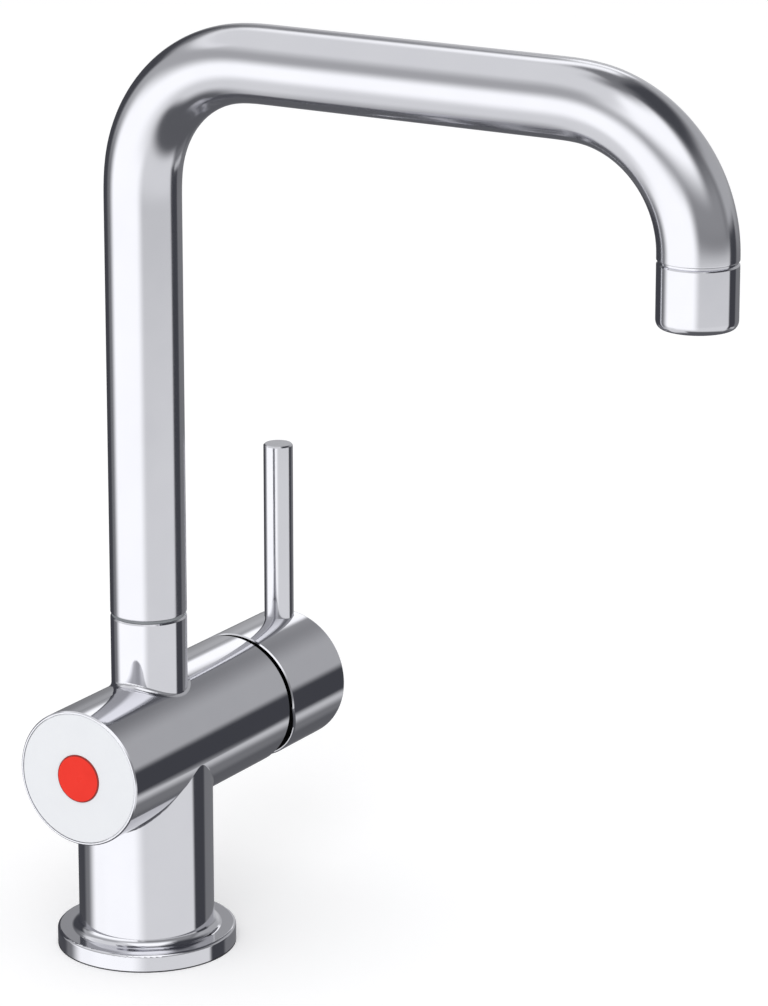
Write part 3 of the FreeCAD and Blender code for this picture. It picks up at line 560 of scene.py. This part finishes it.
@dataclass
class SensorHead(SubAssembly):
    """Pale face with its red window, and the electronics behind it."""

    finishes = {
        "sensor_face": PALE_ABS,
        "sensor_window": RED_FILTER,
        "face_seal": SEAL_RUBBER,
        "sensor_cup": BLACK_ACETAL,
        "sensor_board": GREEN_BOARD,
        "led_holder": BLACK_ACETAL,
        "ir_emitter": DIODE_EPOXY,
        "ir_receiver": DIODE_EPOXY,
    }


@dataclass
class SolenoidValve(SubAssembly):
    """Pilot solenoid and diaphragm that the sensor opens."""

    finishes = {
        "coil_pins": BRIGHT_STEEL,
        "coil_bobbin": BLACK_ACETAL,
        "coil_winding": WOUND_COPPER,
        "coil_yoke": BRIGHT_STEEL,
        "guide_tube": BRIGHT_STEEL,
        "fixed_core": BRIGHT_STEEL,
        "plunger": BRIGHT_STEEL,
        "plunger_spring": BRIGHT_STEEL,
        "diaphragm": SEAL_RUBBER,
    }


@dataclass
class Cartridge(SubAssembly):
    """Ceramic mixing cartridge, its nut and the black sleeve that covers it."""

    finishes = {
        "cartridge_base": BLACK_ACETAL,
        "cartridge_seals": SEAL_RUBBER,
        "fixed_disc": LAPPED_CERAMIC,
        "moving_disc": LAPPED_CERAMIC,
        "disc_slider": GREY_ACETAL,
        "cartridge_housing": BLACK_ACETAL,
        "turning_collar": BLACK_ACETAL,
        "pivot_pin": BRIGHT_STEEL,
        "stem": BRIGHT_STEEL,
        "retaining_nut": TURNED_BRASS,
        "cover_sleeve": BLACK_ACETAL,
    }


@dataclass
class Handle(SubAssembly):
    """Hub with its slim lever, screw and plug."""

    finishes = {
        "handle_hub": HUB_CHROME,
        "lever_rod": TUBE_CHROME,
        "hub_screw": BRIGHT_STEEL,
        "hub_plug": BLACK_ACETAL,
    }


@dataclass
class Spout(SubAssembly):
    """Bent swivel tube with the spigot that turns in the neck.

    Attributes:
        axis_x: Place of the tube's plane.
        radius: Outer radius.
        wall: Wall thickness.
        foot: Height of the lower end.
        run: Height of the level run's axis.
        reach: Distance from riser to outlet.
        end: Height of the outlet end.
        bend: Radius of the bends.
        ease: Length over which a mandrel bend tightens from straight.
        ease_steps: Arcs that the easing is made of.
        bend_steps: Steps of the main arc.
        sides: Faces round the tube.
        straight_steps: Steps of each straight.
        ring: Width of the plain ring beside a rounded end.
        edge: Width of the end edges' rounding.
        edge_steps: Steps of that rounding.
    """

    axis_x: float = TUBE.middle.x
    radius: float = (TUBE.high.x - TUBE.low.x) / 2
    wall: float = 1.5 * MM
    foot: float = TUBE.low.z
    run: float = TUBE.high.z - radius
    reach: float = -SLEEVE.middle.y
    end: float = NIPPLE.high.z
    bend: float = 42.4 * MM
    ease: float = 14.0 * MM
    ease_steps: int = 5
    bend_steps: int = 40
    sides: int = 96
    straight_steps: int = 6
    ring: float = 0.6 * MM
    edge: float = 0.25 * MM
    edge_steps: int = 3

    finishes = {
        "spout_tube": TUBE_CHROME,
        "spout_spigot": TURNED_BRASS,
        "spigot_seals": SEAL_RUBBER,
        "slide_ring": GREY_ACETAL,
        "stop_screw": BRIGHT_STEEL,
    }

    def arcs(self, eased_out: bool) -> list[tuple[float, float, int]]:
        """Lay out one bend.

        Args:
            eased_out: Whether the bend also loosens at its far end.

        Returns:
            Angle, radius and steps of each arc in order.
        """
        count = self.ease_steps
        shares = [(i + 0.5) / count for i in range(count)]
        grow = [(self.ease / count * s / self.bend, self.bend / s, 1) for s in shares]
        used = sum(angle for angle, _, _ in grow)
        back = grow[::-1] if eased_out else []
        main = math.pi / 2 - used * (2 if eased_out else 1)
        return [*grow, (main, self.bend, self.bend_steps), *back]

    def lengths(self, straight: float, from_end: bool, to_end: bool) -> list[float]:
        """Divide a straight so that a rounded end shades only the ring next to it.

        Args:
            straight: Length of the straight.
            from_end: Whether it starts at an end of the tube.
            to_end: Whether it stops at an end of the tube.

        Returns:
            Lengths to extrude in order.
        """
        short = [self.ring]
        rest = straight - self.ring * (from_end + to_end)
        parts = [rest / self.straight_steps] * self.straight_steps
        return short * from_end + parts + short * to_end

    @staticmethod
    def travel(arcs: list[tuple[float, float, int]]) -> tuple[float, float]:
        """Find how far a bend goes.

        Args:
            arcs: Arcs of the bend.

        Returns:
            Distance along the first heading and along the last one.
        """
        heading = ahead = across = 0.0
        for angle, radius, _ in arcs:
            ahead += radius * (math.sin(heading + angle) - math.sin(heading))
            across += radius * (math.cos(heading) - math.cos(heading + angle))
            heading += angle
        return ahead, across

    def build(self) -> None:
        """Bend the tube: extrude the straights, spin the arcs, then give it its wall."""
        bends = (self.arcs(True), self.arcs(False))
        (rise_used, run_used), (run_left, fall_used) = (self.travel(b) for b in bends)
        straights = (
            self.run - self.foot - rise_used,
            self.reach - run_used - run_left,
            self.run - self.end - fall_used,
        )
        place = Vector((self.axis_x, 0.0, self.foot))
        bpy.ops.mesh.primitive_circle_add(vertices=self.sides, radius=self.radius, location=place)
        tube = bpy.context.object
        tube.name = "spout_tube_bent"
        bpy.ops.object.mode_set(mode="EDIT")
        bpy.ops.mesh.select_all(action="SELECT")
        heading = 0.0
        for straight, arcs in zip(straights, (*bends, ())):
            ahead = Vector((0.0, -math.sin(heading), math.cos(heading)))
            for length in self.lengths(straight, from_end=heading == 0.0, to_end=not arcs):
                bpy.ops.mesh.extrude_region_move(TRANSFORM_OT_translate={"value": ahead * length})
            place += ahead * straight
            for angle, radius, steps in arcs:
                inward = Vector((0.0, -math.cos(heading), -math.sin(heading)))
                centre = place + inward * radius
                bpy.ops.mesh.spin(steps=steps, angle=-angle, center=centre, axis=(1.0, 0.0, 0.0))
                heading += angle
                place = centre - Vector((0.0, -math.cos(heading), -math.sin(heading))) * radius
        bpy.ops.mesh.select_all(action="SELECT")
        bpy.ops.mesh.remove_doubles(threshold=MERGE_WITHIN)
        bpy.ops.mesh.normals_make_consistent(inside=False)
        bpy.ops.object.mode_set(mode="OBJECT")
        apply_modifier(tube, "SOLIDIFY", {"thickness": self.wall, "offset": -1.0})
        rounding = {"width": self.edge, "segments": self.edge_steps}
        rounding |= {"limit_method": "ANGLE", "angle_limit": SMOOTH_BELOW}
        apply_modifier(tube, "BEVEL", rounding)
        finish_piece(tube, "spout", TUBE_CHROME)
        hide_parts("spout_tube")


@dataclass
class Outlet(SubAssembly):
    """Screwed sleeve at the spout's end with the aerator inside.

    Attributes:
        axis: Place of the outlet's line.
        radius: Outer radius of the sleeve.
        wall: Thickness of its wall.
        lip_width: How far the lip that holds the insert reaches in.
        lip_height: Thickness of that lip.
        foot: Height of its lower face.
        top: Height of its upper face.
        round_width: Width of the rounded lower edge.
        round_height: Height of the rounded lower edge.
        round_steps: Steps of that edge.
        ring: Width of the plain ring beside that edge.
        chamfer: Width of the upper edge's chamfer.
        sides: Faces round the sleeve.
        screen_rise: How far the wire screen lies above the honeycomb's lower face.
        screen_radius: Radius of the screen.
        meshes: Wires across the screen.
        wire: Thickness of a wire, drawn coarser than real so that it shows.
    """

    axis: tuple[float, float] = tuple(SLEEVE.middle.xy)
    radius: float = (SLEEVE.high.x - SLEEVE.low.x) / 2
    wall: float = 1.5 * MM
    lip_width: float = 1.4 * MM
    lip_height: float = 3.0 * MM
    foot: float = SLEEVE.low.z
    top: float = SLEEVE.high.z
    round_width: float = 1.7 * MM
    round_height: float = 2.6 * MM
    round_steps: int = 10
    ring: float = 0.4 * MM
    chamfer: float = 0.7 * MM
    sides: int = 96
    screen_rise: float = 2.35 * MM
    screen_radius: float = 8.7 * MM
    meshes: int = 30
    wire: float = 0.22 * MM

    finishes = {
        "outlet_nipple": TURNED_CHROME,
        "aerator_housing": TURNED_CHROME,
        "aerator_insert": GREY_ACETAL,
        "jet_plate": GREY_ACETAL,
        "aerator_washer": SEAL_RUBBER,
    }

    def section(self) -> list[tuple[float, float]]:
        """Lay out half of the sleeve's section.

        Returns:
            Radius and height of each corner in order, back to the first.
        """
        bore = self.radius - self.wall
        lip = bore - self.lip_width
        seat = self.foot + self.lip_height
        turns = [math.pi / 2 * (1 - i / self.round_steps) for i in range(self.round_steps + 1)]
        edge = [
            (
                self.radius - self.round_width * (1 - math.cos(turn)),
                self.foot + self.round_height * (1 - math.sin(turn)),
            )
            for turn in turns
        ]
        return [
            (lip, self.foot),
            *edge,
            (self.radius, edge[-1][1] + self.ring),
            (self.radius, self.top - self.chamfer),
            (self.radius - self.chamfer, self.top),
            (bore, self.top),
            (bore, seat),
            (lip, seat),
            (lip, self.foot),
        ]

    def turn_sleeve(self) -> None:
        """Turn the sleeve: draw its section from one point and spin it."""
        corners = [Vector((self.axis[0] + r, self.axis[1], z)) for r, z in self.section()]
        bpy.ops.mesh.primitive_plane_add(size=MM, location=corners[0])
        sleeve = bpy.context.object
        sleeve.name = "aerator_sleeve_turned"
        bpy.ops.object.mode_set(mode="EDIT")
        bpy.ops.mesh.select_all(action="SELECT")
        bpy.ops.mesh.merge(type="CENTER")
        for near, far in zip(corners, corners[1:]):
            bpy.ops.mesh.extrude_vertices_move(TRANSFORM_OT_translate={"value": far - near})
        bpy.ops.mesh.select_all(action="SELECT")
        bpy.ops.mesh.spin(
            steps=self.sides, angle=math.tau, center=(*self.axis, self.foot), axis=(0.0, 0.0, 1.0)
        )
        bpy.ops.mesh.select_all(action="SELECT")
        bpy.ops.mesh.remove_doubles(threshold=MERGE_WITHIN)
        bpy.ops.mesh.normals_make_consistent(inside=False)
        bpy.ops.object.mode_set(mode="OBJECT")
        finish_piece(sleeve, "spout", TURNED_CHROME)
        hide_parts("aerator_housing")

    def weave_screen(self) -> None:
        """Weave the screen: a grid trimmed to a disc and turned to wires."""
        place = (*self.axis, INSERT.low.z + self.screen_rise)
        bpy.ops.mesh.primitive_grid_add(
            x_subdivisions=self.meshes, y_subdivisions=self.meshes,
            size=2 * self.screen_radius, location=place,
        )
        screen = bpy.context.object
        screen.name = "aerator_wire_screen"
        bpy.ops.object.mode_set(mode="EDIT")
        bpy.ops.mesh.select_mode(type="VERT")
        bpy.ops.mesh.select_all(action="DESELECT")
        bpy.ops.object.mode_set(mode="OBJECT")
        for vertex in screen.data.vertices:
            vertex.select = vertex.co.xy.length > self.screen_radius
        bpy.ops.object.mode_set(mode="EDIT")
        bpy.ops.mesh.delete(type="VERT")
        bpy.ops.object.mode_set(mode="OBJECT")
        apply_modifier(
            screen, "WIREFRAME", {"thickness": self.wire, "use_even_offset": False}
        )
        finish_piece(screen, "spout", BRIGHT_STEEL)

    def build(self) -> None:
        """Model the sleeve and the screen."""
        self.turn_sleeve()
        self.weave_screen()


class Tone(Enum):
    """How bright a part of the studio looks, where one is white; chrome returns four fifths of it."""

    WHITE = 1.25
    PALE = 0.8
    SOFT = 0.6
    MID = 0.45
    DIM = 0.3
    GREY = 0.2
    SHADE = 0.12
    DARK = 0.06


@dataclass(frozen=True)
class Panel:
    """A soft light or dark board of the studio, seen from the object.

    Attributes:
        name: What stands there.
        turn: Degrees from the camera's side, positive to the right.
        rise: Degrees above the horizon.
        half_turn: Half its width in degrees.
        half_rise: Half its height in degrees.
        edge: Half the width of its soft edge in degrees.
        tone: How bright it is.
    """

    name: str
    turn: float
    rise: float
    half_turn: float
    half_rise: float
    edge: float
    tone: Tone


@dataclass
class Studio:
    """Studio that looks white, with soft boxes and flags that polished metal mirrors.

    Attributes:
        front: Heading from the object to the camera's side in degrees, where a turn is nought.
        wall: Tone of the room between the panels.
        ambient: Light that matt surfaces get from all round.
        tint: Colour of the panels' light.
        haze: Faint blue that shows in the darkest panels.
        floor_tone: Colour of the floor.
        floor_rough: Roughness of the floor.
        floor_lift: What the camera sees on top of the floor's own light.
        floor_size: Side of the floor.
        lamp_place: Place of the lamp that casts the soft shadow.
        lamp_size: Side of that lamp.
        lamp_watts: Power of that lamp.
        panels: What metal mirrors, where a later one covers those before it.
    """

    front: float = -146.0
    wall: Tone = Tone.GREY
    ambient: float = 0.84
    tint: tuple[float, float, float] = (0.991, 0.995, 1.0)
    haze: tuple[float, float, float] = (0.0, 0.0015, 0.011)
    floor_tone: str = "#F6F6F7"
    floor_rough: float = 0.9
    floor_lift: float = 0.2
    floor_size: float = 12.0
    lamp_place: tuple[float, float, float] = (-1.9, -0.9, 1.9)
    lamp_size: float = 1.4
    lamp_watts: float = 14.0
    panels: ClassVar[tuple[Panel, ...]] = (
        # Floor: in shade under the tap and behind it, pale where the lamps reach it.
        Panel("floor", 0, -75, 180, 35, 5, Tone.SHADE),
        Panel("floor behind", -170, -40, 50, 12, 6, Tone.SHADE),
        Panel("floor at left", -85, -45, 40, 15, 10, Tone.PALE),
        Panel("floor in front", 10, -26, 85, 17, 8, Tone.PALE),
        # Walls: dim at the right, lighter at the left.
        Panel("right wall", 35, 10, 45, 15, 10, Tone.DIM),
        Panel("left wall", -90, 20, 50, 22, 8, Tone.MID),
        # Soft boxes: the key for the uprights, one overhead for barrel and bends, a strip for edges;
        # and the ceiling between them.
        Panel("key box", -58, -10, 48, 20, 12, Tone.WHITE),
        Panel("overhead box", 0, 50, 45, 25, 15, Tone.WHITE),
        Panel("strip behind", -145, 45, 55, 8, 5, Tone.WHITE),
        Panel("left ceiling", -100, 58, 65, 20, 10, Tone.PALE),
        Panel("right ceiling", 105, 60, 45, 20, 10, Tone.DARK),
        # Back of the room with its window.
        Panel("right back wall", 135, 15, 45, 20, 10, Tone.MID),
        Panel("window behind", 170, 5, 12, 12, 6, Tone.SOFT),
        # Black flags, which draw the dark edges of the round pieces.
        Panel("right flag", 105, -15, 15, 15, 4, Tone.DARK),
        Panel("left flag", -150, 0, 22, 25, 6, Tone.DARK),
        # Lit edge of the floor, and the lamp that draws the barrel's ridge.
        Panel("floor edge", 118, -28, 14, 3, 3, Tone.SOFT),
        Panel("lamp behind", 168, 29, 9, 6, 3, Tone.WHITE),
    )

    def mirrored(self, tree: bpy.types.NodeTree) -> bpy.types.NodeSocket:
        """Lay the panels over the walls, by direction.

        Args:
            tree: The world's node tree.

        Returns:
            Socket with the brightness that metal mirrors.
        """
        ray = add_node(tree, "ShaderNodeTexCoord").outputs["Generated"]
        parts = add_node(tree, "ShaderNodeSeparateXYZ", links={"Vector": ray})
        turn = add_node(
            tree, "ShaderNodeMath", {"operation": "ARCTAN2"},
            {0: parts.outputs["Y"], 1: parts.outputs["X"]},
        ).outputs["Value"]
        rise = add_node(
            tree, "ShaderNodeMath", {"operation": "ARCSINE"}, {0: parts.outputs["Z"]}
        ).outputs["Value"]
        level = None
        for panel in self.panels:
            masks = []
            spans = (
                (turn, self.front + panel.turn, panel.half_turn),
                (rise, panel.rise, panel.half_rise),
            )
            for angle, middle, half in spans:
                off = add_node(
                    tree, "ShaderNodeMath",
                    {"operation": "SUBTRACT", 1: math.radians(middle)}, {0: angle},
                )
                near = add_node(
                    tree, "ShaderNodeMath",
                    {"operation": "WRAP", 1: math.pi, 2: -math.pi}, {0: off.outputs["Value"]},
                )
                far = add_node(
                    tree, "ShaderNodeMath", {"operation": "ABSOLUTE"}, {0: near.outputs["Value"]}
                )
                mask = add_node(
                    tree, "ShaderNodeMapRange",
                    {
                        "interpolation_type": "SMOOTHSTEP",
                        "From Min": math.radians(half - panel.edge),
                        "From Max": math.radians(half + panel.edge),
                        "To Min": 1.0,
                        "To Max": 0.0,
                    },
                    {"Value": far.outputs["Value"]},
                )
                masks.append(mask.outputs["Result"])
            cover = add_node(
                tree, "ShaderNodeMath", {"operation": "MULTIPLY"}, {0: masks[0], 1: masks[1]}
            )
            mixed = add_node(
                tree, "ShaderNodeMix", {2: self.wall.value, 3: panel.tone.value},
                {0: cover.outputs["Value"], **({2: level} if level else {})},
            )
            level = mixed.outputs[0]
        return level

    def light(self) -> None:
        """Set the world: white to the camera, plain to matt surfaces, panels to metal."""
        world = bpy.data.worlds.new("studio")
        bpy.context.scene.world = world
        world.use_nodes = True
        tree = world.node_tree
        tree.nodes.clear()
        path = add_node(tree, "ShaderNodeLightPath")
        colour = add_node(
            tree, "ShaderNodeVectorMath", {"operation": "MULTIPLY_ADD", 1: self.tint, 2: self.haze},
            {0: self.mirrored(tree)},
        )
        room = add_node(
            tree, "ShaderNodeBackground", links={"Color": colour.outputs["Vector"]}
        )
        plain = add_node(
            tree, "ShaderNodeBackground", {"Color": WHITE, "Strength": self.ambient}
        )
        white = add_node(
            tree, "ShaderNodeBackground", {"Color": WHITE, "Strength": 1.0}
        )
        by_gloss = add_node(
            tree, "ShaderNodeMixShader",
            links={
                0: path.outputs["Is Glossy Ray"],
                1: plain.outputs["Background"],
                2: room.outputs["Background"],
            },
        )
        seen = add_node(
            tree, "ShaderNodeMath", {"operation": "MAXIMUM"},
            {0: path.outputs["Is Camera Ray"], 1: path.outputs["Is Transmission Ray"]},
        )
        by_eye = add_node(
            tree, "ShaderNodeMixShader",
            links={
                0: seen.outputs["Value"],
                1: by_gloss.outputs["Shader"],
                2: white.outputs["Background"],
            },
        )
        add_node(tree, "ShaderNodeOutputWorld", links={"Surface": by_eye.outputs["Shader"]})
        lamp = bpy.data.lights.new("key", "AREA")
        lamp.shape = "SQUARE"
        lamp.size = self.lamp_size
        lamp.energy = self.lamp_watts
        key = bpy.data.objects.new("key", lamp)
        bpy.context.scene.collection.objects.link(key)
        key.location = self.lamp_place
        key.rotation_euler = (-Vector(self.lamp_place)).to_track_quat("-Z", "Y").to_euler()
        key.visible_camera = False
        key.visible_glossy = False

    def lay_floor(self) -> None:
        """Lay the pale floor, which metal does not mirror and the eye sees from above only."""
        bpy.ops.mesh.primitive_plane_add(size=self.floor_size)
        floor = bpy.context.object
        floor.name = "studio_floor"
        floor.visible_glossy = False
        made = bpy.data.materials.new("floor_paper_white_matt")
        made.use_nodes = True
        tree = made.node_tree
        shader = tree.nodes["Principled BSDF"]
        shader.inputs["Base Color"].default_value = linear(self.floor_tone)
        shader.inputs["Roughness"].default_value = self.floor_rough
        shader.inputs["Specular IOR Level"].default_value = 0.0
        path = add_node(tree, "ShaderNodeLightPath")
        lift = add_node(
            tree, "ShaderNodeMath", {"operation": "MULTIPLY", 1: self.floor_lift},
            {0: path.outputs["Is Camera Ray"]},
        )
        shader.inputs["Emission Color"].default_value = WHITE
        tree.links.new(lift.outputs["Value"], shader.inputs["Emission Strength"])
        side = add_node(tree, "ShaderNodeNewGeometry")
        clear = add_node(tree, "ShaderNodeBsdfTransparent")
        mixed = add_node(
            tree, "ShaderNodeMixShader",
            links={
                0: side.outputs["Backfacing"],
                1: shader.outputs["BSDF"],
                2: clear.outputs["BSDF"],
            },
        )
        tree.links.new(mixed.outputs["Shader"], tree.nodes["Material Output"].inputs["Surface"])
        floor.data.materials.append(made)


@dataclass
class Viewpoint:
    """Camera at the photograph's viewing angle.

    Attributes:
        place: Place of the lens.
        yaw: Heading in degrees from +Y, positive to the left.
        pitch: Degrees that it looks down.
        focal_px: Focal length in pixels of the frame.
        rise: Shift of the lens that frames the object.
        sensor_mm: Width of the sensor.
    """

    place: tuple[float, float, float] = (-1.163, -0.789, 0.559)
    yaw: float = -59.05
    pitch: float = 14.95
    focal_px: float = 4520.0
    rise: float = -0.1
    sensor_mm: float = 36.0

    def set_up(self) -> None:
        """Make the camera and give it to the scene."""
        data = bpy.data.cameras.new("photo_camera")
        data.sensor_width = self.sensor_mm
        data.lens = self.focal_px / max(IMAGE_WIDTH, IMAGE_HEIGHT) * self.sensor_mm
        data.shift_y = self.rise
        camera = bpy.data.objects.new("photo_camera", data)
        bpy.context.scene.collection.objects.link(camera)
        camera.location = self.place
        camera.rotation_euler = (math.radians(90 - self.pitch), 0.0, math.radians(self.yaw))
        bpy.context.scene.camera = camera


def main() -> None:
    """Build and dress each sub-assembly, then set the studio round them."""
    logging.basicConfig(level=logging.INFO, format="%(message)s")
    bpy.ops.object.select_all(action="DESELECT")
    bpy.context.scene.view_settings.view_transform = "Standard"
    groups = (Casting(), SensorHead(), SolenoidValve(), Cartridge(), Handle(), Spout(), Outlet())
    for group in groups:
        group.build()
        group.dress()
    studio = Studio()
    studio.light()
    studio.lay_floor()
    Viewpoint().set_up()
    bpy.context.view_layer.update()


if __name__ == "__main__":
    main()
